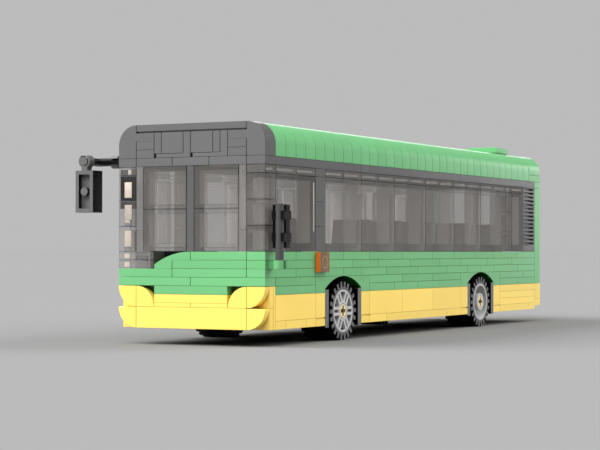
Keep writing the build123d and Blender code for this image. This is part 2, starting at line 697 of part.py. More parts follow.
# Pin from the hub through its brick, with a cross in the head
CROSS_ARM = 1.4
CROSS_DEPTH = 2.4
with BuildPart() as pin_left:
    with BuildSketch(Plane.XZ):
        RegularPolygon(PIN_HEAD_R, HUB_SIDES)
    extrude(amount=PIN_HEAD)
    with BuildSketch(Plane.XZ):
        RegularPolygon(PIN_R, HUB_SIDES)
    extrude(amount=WHEEL_FACE - y_at(3) - SIDE_GAP)
    with BuildSketch(Plane.XZ):
        Rectangle(2 * PIN_R - CROSS_ARM / 2, CROSS_ARM)
        Rectangle(CROSS_ARM, 2 * PIN_R - CROSS_ARM / 2)
    extrude(amount=CROSS_DEPTH, mode=Mode.SUBTRACT)

for axle, side, name in WHEELS:
    rim = rim_spoked if axle == AXLE_STUDS[0] else rim_dished
    for kind, source in (("tyre", tyre_left), ("rim", rim), ("pin", pin_left)):
        turned = source.part if side > 0 else mirror(source.part, about=Plane.XZ)
        with BuildPart() as wheel_piece:
            with Locations((x_at(axle), side * WHEEL_FACE, TYRE_R)):
                add(turned)
        save(wheel_piece, f"{kind}_{name}")

# Left mirror: a clip on a plate in the corner, an upright bar, and a plate whose two clips swing on it
BAR_X = x_at(0.5)
BAR_Y = WIDTH / 2 + LEFT_BAR_OUT
BAR_FOOT_Z = z_at(LEFT_BAR_FOOT)
with BuildPart() as left_clip:
    lay(0, 1, *LEFT_WALL, 16, 17)
    with Locations((BAR_X, y_at(0) + LEFT_BAR_OUT / 2 - SIDE_GAP, z_at(16.5) + FOOT_GAP / 2)):
        Box(CLIP_R, LEFT_BAR_OUT, PLATE - FOOT_GAP)
    with BuildSketch(Plane.XY.offset(z_at(17) + FOOT_GAP)):
        with Locations((BAR_X, BAR_Y)):
            RegularPolygon(CLIP_R, BAR_SIDES)
    extrude(amount=PLATE - FOOT_GAP)
    with BuildSketch(Plane.XY.offset(z_at(17))):
        with Locations((BAR_X, BAR_Y)):
            RegularPolygon(BAR_R + RUN_CLEAR, BAR_SIDES, major_radius=False)
            Rectangle(CLIP_MOUTH, 2 * CLIP_R, align=(Align.CENTER, Align.MIN))
    extrude(amount=PLATE, mode=Mode.SUBTRACT)
save(left_clip, "left_clip")
with BuildPart() as left_bar:
    with BuildSketch(Plane.XY.offset(BAR_FOOT_Z)):
        with Locations((BAR_X, BAR_Y)):
            RegularPolygon(BAR_R, BAR_SIDES)
    extrude(amount=LEFT_BAR_STUDS * PITCH)
save(left_bar, "left_bar")
LEFT_PLATE_TOP = 9.6  # plate level of the mirror's top
LEFT_PLATE_BACK = 1.1  # mirror's plate behind the bar's middle
LEFT_PLATE_IN, LEFT_PLATE_OUT = 3.6, 2.0  # its edges either side of the bar
with BuildPart() as mirror_left:
    plate_mid_z = z_at(LEFT_PLATE_TOP) - PITCH
    plate_y = BAR_Y + (LEFT_PLATE_OUT - LEFT_PLATE_IN) / 2
    with Locations((BAR_X - LEFT_PLATE_BACK, plate_y, plate_mid_z)):
        Box(PLATE, LEFT_PLATE_IN + LEFT_PLATE_OUT, 2 * PITCH, align=(Align.MAX, Align.CENTER, Align.CENTER))
    with Locations(*((BAR_X + BAR_R, BAR_Y, plate_mid_z + rise) for rise in (PITCH / 2, -PITCH / 2))):
        Box(
            BAR_R + LEFT_PLATE_BACK + PLATE,
            2 * CLIP_R,
            CLIP_WIDTH,
            align=(Align.MAX, Align.CENTER, Align.CENTER),
        )
    with BuildSketch(Plane.XY.offset(plate_mid_z - PITCH)):
        with Locations((BAR_X, BAR_Y)):
            RegularPolygon(BAR_R + RUN_CLEAR, BAR_SIDES, major_radius=False)
            Rectangle(2 * CLIP_R, CLIP_MOUTH, align=(Align.MIN, Align.CENTER))
    extrude(amount=2 * PITCH, mode=Mode.SUBTRACT)
save(mirror_left, "mirror_left")

# Right mirror: a clip on a plate of the cornice, an arm out to the side with a stub forward, and the mirror
ARM_X = x_at(0) - ARM_SET_BACK
ARM_Z = z_at(ARM_LEVEL)
CLIP_OUT = 3.0  # middle of the arm's clip outside the body
with BuildPart() as right_clip:
    lay(0, 1, *RIGHT_WALL, 4, 5)
    with Locations((ARM_X, y_at(WIDTH_STUDS), z_at(5) + FOOT_GAP)):
        Box(
            2 * CLIP_R,
            CLIP_OUT + CLIP_WIDTH / 2,
            PLATE - FOOT_GAP,
            align=(Align.MAX, Align.MAX, Align.MIN),
        )
    with Locations((ARM_X - BAR_R, y_at(WIDTH_STUDS), z_at(4.5) + FOOT_GAP / 2)):
        Box(CLIP_R, 2 * SIDE_GAP, PLATE - FOOT_GAP, align=(Align.MAX, Align.CENTER, Align.CENTER))
    with BuildSketch(Plane.XZ.offset(WIDTH / 2 + CLIP_OUT - CLIP_WIDTH / 2)):
        with Locations((ARM_X, ARM_Z)):
            RegularPolygon(CLIP_R, BAR_SIDES)
    extrude(amount=CLIP_WIDTH)
    with BuildSketch(Plane.XZ.offset(WIDTH / 2)):
        with Locations((ARM_X, ARM_Z)):
            RegularPolygon(BAR_R + RUN_CLEAR, BAR_SIDES, major_radius=False)
            Rectangle(2 * CLIP_R, CLIP_MOUTH, align=(Align.MIN, Align.CENTER))
    extrude(amount=2 * CLIP_OUT, mode=Mode.SUBTRACT)
save(right_clip, "right_clip")
with BuildPart() as right_arm:
    arm_start = WIDTH / 2 + SIDE_GAP
    with BuildSketch(Plane.XZ.offset(arm_start)):
        with Locations((ARM_X, ARM_Z)):
            RegularPolygon(BAR_R, BAR_SIDES)
    extrude(amount=MIRROR_REACH + BAR_R - arm_start)
    with BuildSketch(Plane.YZ.offset(ARM_X - BAR_R)):
        with Locations((-MIRROR_REACH, ARM_Z)):
            RegularPolygon(BAR_R, BAR_SIDES)
    extrude(amount=MIRROR_AHEAD + ARM_SET_BACK + BAR_R + STUB_PROUD)
save(right_arm, "right_arm")
MIRROR_FACE_X = x_at(0) + MIRROR_AHEAD
MIRROR_RECESS = 2.0
MIRROR_RIM = 1.5
with BuildPart() as mirror_right:
    with BuildSketch(Plane.YZ.offset(MIRROR_FACE_X - CLIP_WIDTH)):
        with Locations((-MIRROR_REACH, ARM_Z)):
            RegularPolygon(CLIP_R, 2 * BAR_SIDES)
            Rectangle(CLIP_R, MIRROR_DROP + BAR_R, align=(Align.CENTER, Align.MAX))
    extrude(amount=CLIP_WIDTH)
    with Locations((MIRROR_FACE_X, -MIRROR_REACH, ARM_Z - MIRROR_DROP)):
        Box(2 * PLATE, PITCH, 2 * PITCH, align=(Align.MAX, Align.CENTER, Align.MAX))
    with Locations((MIRROR_FACE_X, -MIRROR_REACH, ARM_Z - MIRROR_DROP - PITCH)):
        Box(2 * MIRROR_RECESS, PITCH - 2 * MIRROR_RIM, 2 * PITCH - 2 * MIRROR_RIM, mode=Mode.SUBTRACT)
    with BuildSketch(Plane.YZ.offset(MIRROR_FACE_X - MIRROR_RECESS)):
        with Locations((-MIRROR_REACH, ARM_Z - MIRROR_DROP - PITCH)):
            RegularPolygon(BAR_R, 2 * BAR_SIDES)
    extrude(amount=MIRROR_RECESS)
    with BuildSketch(Plane.YZ.offset(MIRROR_FACE_X - 2 * PLATE)):
        with Locations((-MIRROR_REACH, ARM_Z)):
            RegularPolygon(BAR_R + RUN_CLEAR, BAR_SIDES, major_radius=False)
            Rectangle(CLIP_MOUTH, 2 * CLIP_R, align=(Align.CENTER, Align.MIN))
    extrude(amount=4 * PLATE, mode=Mode.SUBTRACT)
save(mirror_right, "mirror_right")

# Seats inside, each with a cushion and a raked back, all facing forward
SEATS = (
    # front stud, left stud, foot level
    (11, 1, 23),
    (15, 1, 23),
    (19, 1, 23),
    (24.5, 1, 17),
    (30, 1, 23),
    (11, 5, 23),
    (19, 5, 23),
    (24.5, 5, 17),
)
SEAT_BACK_TOP = 10.8
CUSHION_LEVEL = 14
CUSHION_THICK = 2
with BuildPart() as seats:
    for front, left, foot in SEATS:
        with BuildSketch(Plane.XZ.offset(-y_at(left) + SIDE_GAP)):
            with BuildLine():
                Polyline(
                    (x_at(front), z_at(CUSHION_LEVEL)),
                    (x_at(front + 1.5), z_at(CUSHION_LEVEL)),
                    (x_at(front + 1.75), z_at(SEAT_BACK_TOP)),
                    (x_at(front + 2.25), z_at(SEAT_BACK_TOP)),
                    (x_at(front + 2), z_at(CUSHION_LEVEL + CUSHION_THICK)),
                    (x_at(front + 2), z_at(foot) + FOOT_GAP),
                    (x_at(front + 0.5), z_at(foot) + FOOT_GAP),
                    (x_at(front + 0.5), z_at(CUSHION_LEVEL + CUSHION_THICK)),
                    (x_at(front), z_at(CUSHION_LEVEL + CUSHION_THICK)),
                    (x_at(front), z_at(CUSHION_LEVEL)),
                )
            make_face()
        extrude(amount=2 * PITCH - 2 * SIDE_GAP)
save(seats, "seats")

# Driver's place: seat, dashboard, column and steering wheel
with BuildPart() as driver_place:
    lay(3, 4.9, 1, 3, 16, 23)
    lay(4.4, 4.9, 1, 3, 11, 16)
    lay(1, 2, 1, 6, 15, 23)
save(driver_place, "driver_place")
STEER_R = 5.0
STEER_RIM = 1.2
STEER_SIDES = 16
COLUMN_LENGTH = 8.7
STEER_PLANE = Plane(
    origin=(x_at(2.4), y_at(2), z_at(13.2)), x_dir=(0, 1, 0), z_dir=(0.866, 0, -0.5)
)
with BuildPart() as steering_wheel:
    with BuildSketch(STEER_PLANE):
        RegularPolygon(STEER_R, STEER_SIDES)
        RegularPolygon(STEER_R - STEER_RIM, STEER_SIDES, mode=Mode.SUBTRACT)
        Rectangle(2 * STEER_R - STEER_RIM, STEER_RIM)
    extrude(amount=STEER_RIM)
    with BuildSketch(STEER_PLANE):
        RegularPolygon(BAR_R, BAR_SIDES)
    extrude(amount=COLUMN_LENGTH)
save(steering_wheel, "steering_wheel")
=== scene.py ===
import bpy
import math
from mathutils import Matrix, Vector


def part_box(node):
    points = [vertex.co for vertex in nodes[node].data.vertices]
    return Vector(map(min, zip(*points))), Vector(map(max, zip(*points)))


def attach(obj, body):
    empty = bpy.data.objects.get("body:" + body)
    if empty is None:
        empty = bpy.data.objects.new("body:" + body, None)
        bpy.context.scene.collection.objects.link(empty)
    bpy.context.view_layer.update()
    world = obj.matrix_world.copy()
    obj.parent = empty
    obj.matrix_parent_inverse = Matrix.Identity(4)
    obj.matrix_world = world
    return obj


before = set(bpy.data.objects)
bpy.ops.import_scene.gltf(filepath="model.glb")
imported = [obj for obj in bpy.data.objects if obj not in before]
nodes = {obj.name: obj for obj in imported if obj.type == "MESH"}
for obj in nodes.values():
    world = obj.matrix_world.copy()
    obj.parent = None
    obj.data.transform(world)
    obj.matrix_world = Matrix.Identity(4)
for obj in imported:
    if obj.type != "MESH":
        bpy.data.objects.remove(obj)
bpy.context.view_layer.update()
print("frame loaded, nodes:", len(nodes))

mm = 0.001
white = (1, 1, 1, 1)
facing = 0.9  # a face looks along an axis when its normal goes this far along it
wheels = ("front_left", "front_right", "rear_left", "rear_right")


def toLinear(hexColour):
    # colour picked as a web code, turned into the shader's linear values
    parts = [int(hexColour[i:i + 2], 16) / 255 for i in (0, 2, 4)]
    return [c / 12.92 if c <= 0.04045 else ((c + 0.055) / 1.055) ** 2.4 for c in parts] + [1.0]


def addNode(tree, kind, place, **sockets):
    node = tree.nodes.new(kind)
    node.location = place
    for key, value in sockets.items():
        node.inputs[key.replace("_", " ")].default_value = value
    return node


# moulded plastic: a faint drift of shade between mouldings, flow haze in the gloss and a soft orange peel
def mouldedPlastic(name, look):
    mat = bpy.data.materials.new(name)
    mat.use_nodes = True
    tree = mat.node_tree
    tree.nodes.clear()
    out = addNode(tree, "ShaderNodeOutputMaterial", (600, 0))
    body = addNode(tree, "ShaderNodeBsdfPrincipled", (300, 0), Specular_IOR_Level=look["gloss"])
    tree.links.new(body.outputs["BSDF"], out.inputs["Surface"])
    place = addNode(tree, "ShaderNodeTexCoord", (-900, 0))
    drift = addNode(tree, "ShaderNodeTexNoise", (-650, 200), Scale=look["driftScale"], Detail=2.0)
    tree.links.new(place.outputs["Object"], drift.inputs["Vector"])
    shade = addNode(tree, "ShaderNodeValToRGB", (-350, 200))
    base = toLinear(look["colour"])[:3]
    for stop, position, way in zip(shade.color_ramp.elements, look["driftStops"], (-1, 1)):
        stop.position = position
        stop.color = [min(1, c * (1 + way * look["drift"])) for c in base] + [1]
    tree.links.new(drift.outputs["Fac"], shade.inputs["Fac"])
    brick = addNode(tree, "ShaderNodeNewGeometry", (-900, 400))
    batch = addNode(tree, "ShaderNodeMapRange", (-350, 450),
                    To_Min=1 - look["batch"], To_Max=1 + look["batch"])
    tree.links.new(brick.outputs["Random Per Island"], batch.inputs["Value"])
    tone = addNode(tree, "ShaderNodeVectorMath", (50, 300))
    tone.operation = "SCALE"
    tree.links.new(shade.outputs["Color"], tone.inputs[0])
    tree.links.new(batch.outputs["Result"], tone.inputs["Scale"])
    tree.links.new(tone.outputs["Vector"], body.inputs["Base Color"])
    haze = addNode(tree, "ShaderNodeTexNoise", (-650, -50), Scale=look["hazeScale"], Detail=3.0)
    tree.links.new(place.outputs["Object"], haze.inputs["Vector"])
    dull = addNode(tree, "ShaderNodeMapRange", (-350, -50),
                   To_Min=look["rough"][0], To_Max=look["rough"][1])
    tree.links.new(haze.outputs["Fac"], dull.inputs["Value"])
    tree.links.new(dull.outputs["Result"], body.inputs["Roughness"])
    peel = addNode(tree, "ShaderNodeTexNoise", (-650, -300), Scale=look["peelScale"], Detail=1.0)
    tree.links.new(place.outputs["Object"], peel.inputs["Vector"])
    bump = addNode(tree, "ShaderNodeBump", (-50, -300), Strength=look["peel"], Distance=look["peelDepth"])
    tree.links.new(peel.outputs["Fac"], bump.inputs["Height"])
    tree.links.new(bump.outputs["Normal"], body.inputs["Normal"])
    return mat, body


shared = {
    "gloss": 0.5, "rough": (0.16, 0.26), "hazeScale": 60,
    "drift": 0.03, "driftScale": 18, "driftStops": (0.3, 0.7), "batch": 0.035,
    "peel": 0.05, "peelScale": 500, "peelDepth": 0.2 * mm,
}
plastics = {
    "green": {**shared, "colour": "6aaf74", "batch": 0.055},
    "roofGreen": {**shared, "colour": "69b075", "batch": 0.02},
    "roofFlat": {**shared, "colour": "5a9e65", "batch": 0.03, "gloss": 0.2, "rough": (0.45, 0.55)},
    "yellow": {**shared, "colour": "fad868", "batch": 0.05},
    "grey": {**shared, "colour": "656565"},
    # the grey darkened, for the posts and as painted shade on the side faces of the cornice and the front
    # corners
    "postGreyAndShade": {**shared, "colour": "585858"},
    "darkGrey": {**shared, "colour": "494949"},
    "black": {**shared, "colour": "0d0d0d", "drift": 0.1},
    "mirrorBlack": {**shared, "colour": "060606", "gloss": 0.35},
    "shadeBlack": {**shared, "colour": "0c0c0c", "gloss": 0.1, "rough": (0.6, 0.7)},
    # black darker than the plastic's own, as painted shade: wheel wells, axle bricks, the liners' faces
    # beside the tyres, the sheet behind the windscreen's foot and the dark pads in the right corner
    "wellShadeBlack": {**shared, "colour": "040404", "gloss": 0.05, "rough": (0.6, 0.7)},
    "treadShade": {**shared, "colour": "121212", "gloss": 0.1, "rough": (0.6, 0.7)},
    "silverShade": {**shared, "colour": "9c9c9b", "rough": (0.2, 0.3)},
    "pinShade": {**shared, "colour": "b5a57c"},
    "archShadeGreen": {**shared, "colour": "166627"},
    "silver": {**shared, "colour": "b8b9b8", "rough": (0.28, 0.38)},
    "tan": {**shared, "colour": "f1e0af"},
    "rubber": {**shared, "colour": "5e5e5e", "gloss": 0.3, "rough": (0.5, 0.65),
               "peel": 0.25, "peelScale": 900, "drift": 0.12},
}
finish = {}
for key, look in plastics.items():
    finish[key], _ = mouldedPlastic(key + "Plastic", look)

# painted shade: the plates behind the headlight tiles are deep green between two lines, where the recess
# lies in shade, and yellow outside them
noseShade = {"within": 22 * mm, "shade": "1c4a2a"}
finish["noseShade"], body = mouldedPlastic("noseShadePlastic", plastics["yellow"])
tree = finish["noseShade"].node_tree
place = addNode(tree, "ShaderNodeTexCoord", (-900, 700))
split = addNode(tree, "ShaderNodeSeparateXYZ", (-700, 700))
across = addNode(tree, "ShaderNodeMath", (-500, 700))
across.operation = "ABSOLUTE"
inner = addNode(tree, "ShaderNodeMath", (-300, 700))
inner.operation = "LESS_THAN"
inner.inputs[1].default_value = noseShade["within"]
recessShade = addNode(tree, "ShaderNodeMixRGB", (180, 500), Color2=toLinear(noseShade["shade"]))
tree.links.new(place.outputs["Object"], split.inputs["Vector"])
tree.links.new(split.outputs["Y"], across.inputs[0])
tree.links.new(across.outputs["Value"], inner.inputs[0])
tree.links.new(inner.outputs["Value"], recessShade.inputs["Fac"])
tree.links.new(body.inputs["Base Color"].links[0].from_socket, recessShade.inputs["Color1"])
tree.links.new(recessShade.outputs["Color"], body.inputs["Base Color"])

# clear plastics let the inside show through
clears = {
    "smoke": {**shared, "colour": "a29e9b", "alpha": 0.29, "rough": (0.05, 0.1)},
    "smokeThin": {**shared, "colour": "a09a96", "alpha": 0.10, "rough": (0.05, 0.1)},
    "endHighlight": {**shared, "colour": "d8cfc8", "alpha": 0.36, "rough": (0.2, 0.3)},
    "smokeFront": {**shared, "colour": "908c89", "alpha": 0.27, "rough": (0.05, 0.1)},
    "smokePost": {**shared, "colour": "928f8d", "alpha": 0.55, "rough": (0.05, 0.1)},
    "paneHighlight": {**shared, "colour": "cfc8c2", "alpha": 0.22, "rough": (0.2, 0.3)},
    "smokeSeam": {**shared, "colour": "3a3938", "alpha": 0.75, "rough": (0.1, 0.2)},
    "orange": {**shared, "colour": "866a55", "alpha": 0.7, "rough": (0.08, 0.14)},
    "litOrangeEdge": {**shared, "colour": "ff7a1e", "alpha": 0.9, "rough": (0.08, 0.14)},
    "red": {**shared, "colour": "a01812", "alpha": 0.85, "rough": (0.08, 0.14)},
    # pale pads for painted highlights
    "liningHighlight": {**shared, "colour": "cfc8c2", "alpha": 0.34, "rough": (0.2, 0.3)},
    "brightHighlight": {**shared, "colour": "e6d8ca", "alpha": 0.95, "rough": (0.2, 0.3)},
    "lensRing": {**shared, "colour": "b09878", "alpha": 0.6, "rough": (0.1, 0.2)},
}
for key, look in clears.items():
    finish[key], body = mouldedPlastic(key + "Clear", look)
    body.inputs["Alpha"].default_value = look["alpha"]
print("finishes made:", len(finish))

wears = {
    "green": ["green_walls", "wheel_arches", "front_slope", "front_green", "rear_wall", "left_clip"],
    "roofGreen": ["roof_edges_left", "roof_edges_right", "roof_corners_rear", "roof_unit"],
    "roofFlat": ["roof_tiles", "roof_plates"],
    "yellow": ["yellow_walls", "nose_centre", "nose_tiles", "nose_backing", "rear_bumper"],
    "grey": ["arch_liners", "roof_corners_front", "front_cornice", "front_sign",
             "mirror_right", "right_clip"],
    "postGreyAndShade": ["windscreen_posts", "grey_posts", "cornice"],
    "darkGrey": ["left_bar", "side_grille"],
    "black": ["rear_grille", "right_arm", "seats", "driver_place", "steering_wheel"],
    "mirrorBlack": ["mirror_left"],
    "shadeBlack": ["floor_plates"],
    "wellShadeBlack": ["axle_bricks", "wheel_wells"],
    "smoke": ["side_windows", "doors", "header_plates", "rear_window"],
    "smokeFront": ["windscreen", "front_clear_plates", "clear_posts"],
    "orange": ["indicators"],
    "red": ["tail_lamps"],
    "rubber": ["tyre_" + wheel for wheel in wheels],
    "silver": ["rim_" + wheel for wheel in wheels],
    "tan": ["pin_" + wheel for wheel in wheels],
}

# every moulded edge is eased, so that seams catch the light; angles in degrees
edges = {"weld": 0.002 * mm, "flatUnder": 1,
         "width": 0.13 * mm, "segments": 2, "sharperThan": 32, "weight": 90}
# clear pieces show a darker line along their edges
seams = {"smoke": "smokeSeam", "smokeFront": "smokeSeam"}
for key, names in wears.items():
    for name in names:
        obj = nodes[name]
        slots = obj.data.materials
        slots.clear()
        slots.append(finish[key])
        for face in obj.data.polygons:
            face.use_smooth = True
        weld = obj.modifiers.new("weld", "WELD")
        weld.merge_threshold = edges["weld"]
        flat = obj.modifiers.new("flat", "DECIMATE")
        flat.decimate_type = "DISSOLVE"
        flat.angle_limit = math.radians(edges["flatUnder"])
        ease = obj.modifiers.new("ease", "BEVEL")
        ease.width = edges["width"]
        ease.segments = edges["segments"]
        ease.limit_method = "ANGLE"
        ease.angle_limit = math.radians(edges["sharperThan"])
        if key in seams:
            slots.append(finish[seams[key]])
            ease.material = len(slots) - 1
        level = obj.modifiers.new("level", "WEIGHTED_NORMAL")
        level.mode = "FACE_AREA"
        level.weight = edges["weight"]

# a second finish on some faces of a node
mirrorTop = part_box("mirror_right")[1]
noseLow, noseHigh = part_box("nose_backing")
marks = {
    "frontWindow": 104 * mm,  # ahead of this, the side's glass is darker
    "cornerDark": 54 * mm,  # above this, the right corner's front glass is thin, over the painted shade behind it
    "outerPosts": 10 * mm,  # further out than this, the windscreen's posts are clear
    "mirrorClip": mirrorTop.z - 9 * mm,  # below this is the right mirror's plate, black but for its front: partly a black piece, partly painted shade on the faces that don't look ahead
    "mirrorFront": 0.5, "archUnder": -0.2,  # parts of a face's normal
    "upperNose": (noseLow.z + noseHigh.z) / 2,
}
secondFinish = {
    # painted light: the indicators' front and rear faces are a bright orange, standing in for light gathered
    # in the edges, and the rest a dim brownish orange, standing in for the dark inside seen through
    "indicators": [("litOrangeEdge", lambda face: abs(face.normal.x) > facing)],
    # bare end of the arm
    "right_arm": [("grey", lambda face: face.normal.x > facing and face.center.x > mirrorTop.x)],
    "windscreen_posts": [("smokePost", lambda face: abs(face.center.y) > marks["outerPosts"])],
    "mirror_right": [("black", lambda face: face.normal.x < marks["mirrorFront"]
                      and face.center.z < marks["mirrorClip"])],
    # painted shade in the recess behind the headlight tiles, on the upper plates' front faces
    "nose_backing": [("noseShade", lambda face: face.normal.x > facing
                      and face.center.z > marks["upperNose"])],
    # painted light and shade: the same grey, lighter on the faces that look ahead and darker on those along
    # the side
    "roof_corners_front": [("postGreyAndShade", lambda face: face.normal.x < facing)],
    "cornice": [("grey", lambda face: face.normal.x > facing)],
    # painted shade: the arches' faces that look down are a dark green
    "wheel_arches": [("archShadeGreen", lambda face: face.normal.z < marks["archUnder"])],
    # painted shade: the liners' faces before and behind the tyre are near black
    "arch_liners": [("wellShadeBlack", lambda face: abs(face.normal.x) > facing)],
    # painted highlight: the panes' end faces that look ahead are pale
    "side_windows": [("smokeFront", lambda face: face.center.x > marks["frontWindow"]),
                     ("endHighlight", lambda face: face.normal.x > facing),
                     ("smokeThin", lambda face: face.normal.x < -facing)],
    "doors": [("smokeThin", lambda face: abs(face.normal.x) > facing)],
    "clear_posts": [("smokeThin", lambda face: face.normal.x > facing and face.center.y < 0
                     and face.center.z > marks["cornerDark"])],
}

# on a wheel, depths are measured in from the head of its pin
wheelMarks = {
    "skin": 1 * mm, "treadWide": 13.5 * mm, "treadRoot": 9.2 * mm,
    "spokeDeep": 4 * mm, "dish": (0.1, 0.95),
    "crossSkin": 0.1 * mm, "crossDeep": 2.5 * mm, "crossReach": 2.4 * mm,
}


def fromHub(face, hub):
    return math.hypot(face.center.x - hub.x, face.center.z - hub.z)


def atDepth(face, outer, least, most):
    return outer - most < abs(face.center.y) < outer - least


for wheel in wheels:
    pinLow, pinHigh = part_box("pin_" + wheel)
    hub = (pinLow + pinHigh) / 2
    outer = max(abs(pinLow.y), abs(pinHigh.y))  # distance of the pin's head from the middle of the bus
    # painted shade: the cross sunk in the pin's head is a darker tan
    secondFinish["pin_" + wheel] = [(
        "pinShade", lambda face, hub=hub, outer=outer:
        atDepth(face, outer, wheelMarks["crossSkin"], wheelMarks["crossDeep"])
        and fromHub(face, hub) < wheelMarks["crossReach"])]
    # painted shade: the tread's faces are near black
    secondFinish["tyre_" + wheel] = [(
        "treadShade", lambda face, hub=hub, outer=outer:
        atDepth(face, outer, wheelMarks["skin"], wheelMarks["treadWide"])
        and fromHub(face, hub) > wheelMarks["treadRoot"])]
    # painted shade: the rim's faces deep between the front wheels' spokes are near black, and the rear ones'
    # sloping dish is a darker silver
    if wheel.startswith("front"):
        secondFinish["rim_" + wheel] = [(
            "shadeBlack", lambda face, outer=outer:
            abs(face.normal.y) > facing
            and atDepth(face, outer, wheelMarks["skin"], wheelMarks["spokeDeep"]))]
    else:
        secondFinish["rim_" + wheel] = [(
            "silverShade", lambda face:
            wheelMarks["dish"][0] < abs(face.normal.y) < wheelMarks["dish"][1])]
for name, choices in secondFinish.items():
    slots = nodes[name].data.materials
    for key, chosen in choices:
        slots.append(finish[key])
        for face in nodes[name].data.polygons:
            if chosen(face):
                face.material_index = len(slots) - 1
print("nodes dressed")

# the brick grid: studs counted back from the nose and in from the left side, plates down from the roof
grid = {"pitch": 8.0 * mm, "plate": 3.2 * mm, "nose": 144.0 * mm, "left": 32.0 * mm, "roof": 83.0 * mm}
smoothUnder = math.radians(40)


def onGrid(stud, line, level):
    return Vector((grid["nose"] - stud * grid["pitch"], grid["left"] - line * grid["pitch"],
                   grid["roof"] - level * grid["plate"]))


# a thin pad between two corners, with its rim eased
def addPad(low, high, ease):
    bpy.ops.object.select_all(action="DESELECT")
    bpy.ops.mesh.primitive_cube_add(size=1, location=(low + high) / 2, scale=high - low)
    bpy.ops.object.transform_apply(location=True, rotation=True, scale=True)
    bpy.ops.object.mode_set(mode="EDIT")
    bpy.ops.mesh.select_all(action="SELECT")
    bpy.ops.mesh.bevel(offset=ease, segments=2)
    bpy.ops.object.mode_set(mode="OBJECT")
    return bpy.context.object


def joinAll(pieces):
    bpy.ops.object.select_all(action="DESELECT")
    for piece in pieces:
        piece.select_set(True)
    bpy.context.view_layer.objects.active = pieces[0]
    bpy.ops.object.join()
    return pieces[0]


# copies with their own meshes, joined to the first one
def copyTo(first, shifts):
    copies = []
    for shift in shifts:
        copy = first.copy()
        copy.data = first.data.copy()
        copy.location = shift
        bpy.context.scene.collection.objects.link(copy)
        copies.append(copy)
    return joinAll([first, *copies])


def dress(piece, name, key):
    piece.name = name
    piece.data.materials.clear()
    piece.data.materials.append(finish[key])
    bpy.ops.object.select_all(action="DESELECT")
    piece.select_set(True)
    bpy.context.view_layer.objects.active = piece
    bpy.ops.object.shade_smooth_by_angle(angle=smoothUnder)
    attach(piece, "bus")


# tubes under the floor, as under every plate, apart from the four sockets that are in the solids
underTube = {
    "radius": 3.25 * mm, "wall": 0.85 * mm, "sides": 16,
    "foot": 0.1 * mm, "rise": 1.6 * mm, "deep": 1.3 * mm,
    # stud lines of each floor plate, front, rear, left and right, and of the sockets
    "floors": ((1, 6, 1, 7), (6, 10, 3, 5), (10, 24, 1, 7), (24, 28, 3, 5), (28, 35, 1, 7)),
    "sockets": ((17, 3), (19, 3), (17, 5), (19, 5)),
}
tubePlaces = [onGrid(stud, line, 0) for front, rear, left, right in underTube["floors"]
              for stud in range(front + 1, rear) for line in range(left + 1, right)
              if (stud, line) not in underTube["sockets"]]
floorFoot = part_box("floor_plates")[0].z
tubeMiddle = floorFoot + (underTube["rise"] + underTube["foot"]) / 2
bpy.ops.object.select_all(action="DESELECT")
bpy.ops.mesh.primitive_cylinder_add(vertices=underTube["sides"], radius=underTube["radius"],
                                    depth=underTube["rise"] - underTube["foot"], location=(0, 0, tubeMiddle))
tube = bpy.context.object
bpy.ops.object.transform_apply(location=True, rotation=True, scale=True)
for face in tube.data.polygons:
    face.select = face.normal.z < -facing
bpy.context.tool_settings.mesh_select_mode = (False, False, True)
bpy.ops.object.mode_set(mode="EDIT")
bpy.ops.mesh.inset(thickness=underTube["wall"])
bpy.ops.mesh.extrude_region_move(TRANSFORM_OT_translate={"value": (0, 0, underTube["deep"])})
bpy.ops.object.mode_set(mode="OBJECT")
firstPlace = tubePlaces[0]
for vertex in tube.data.vertices:
    vertex.co.xy += firstPlace.xy
tubeShifts = [Vector((place.x - firstPlace.x, place.y - firstPlace.y, 0)) for place in tubePlaces[1:]]
dress(copyTo(tube, tubeShifts), "underTubes", "black")
print("tubes under the floor:", len(tubePlaces))

# painted highlights: pale pads on the inner walls of the hollow clear bricks, standing in for light that
# shows through them as pale patches
liningHighlight = {
    "wall": 1.9 * mm, "thick": 0.25 * mm, "lead": 0.75 * mm,
    "rise": 7.0 * mm, "drop": 1.9 * mm, "ease": 0.1 * mm,
    "columns": ((0, 0, (6, 9, 12)), (0, 7, (12,)), (30, 0, (6, 9, 12))),  # stud, line, levels of the bricks
}
pads = []
for stud, line, tops in liningHighlight["columns"]:
    for top in tops:
        front, rear = onGrid(stud, line, top), onGrid(stud + 1, line + 1, top)
        foot = front.z - liningHighlight["drop"] - liningHighlight["rise"]
        high = Vector((front.x - liningHighlight["wall"], front.y - liningHighlight["wall"], front.z - liningHighlight["drop"]))
        low = Vector((rear.x + liningHighlight["wall"], rear.y + liningHighlight["wall"], foot))
        pads.append(addPad(low, Vector((low.x + liningHighlight["thick"], high.y, high.z)), liningHighlight["ease"]))
        inboard = (low.y, low.y + liningHighlight["thick"]) if line == 0 else (high.y - liningHighlight["thick"], high.y)
        sideLow = Vector((low.x + liningHighlight["lead"], inboard[0], low.z))
        sideHigh = Vector((high.x, inboard[1], high.z))
        pads.append(addPad(sideLow, sideHigh, liningHighlight["ease"]))
dress(joinAll(pads), "brickLiningHighlights", "liningHighlight")

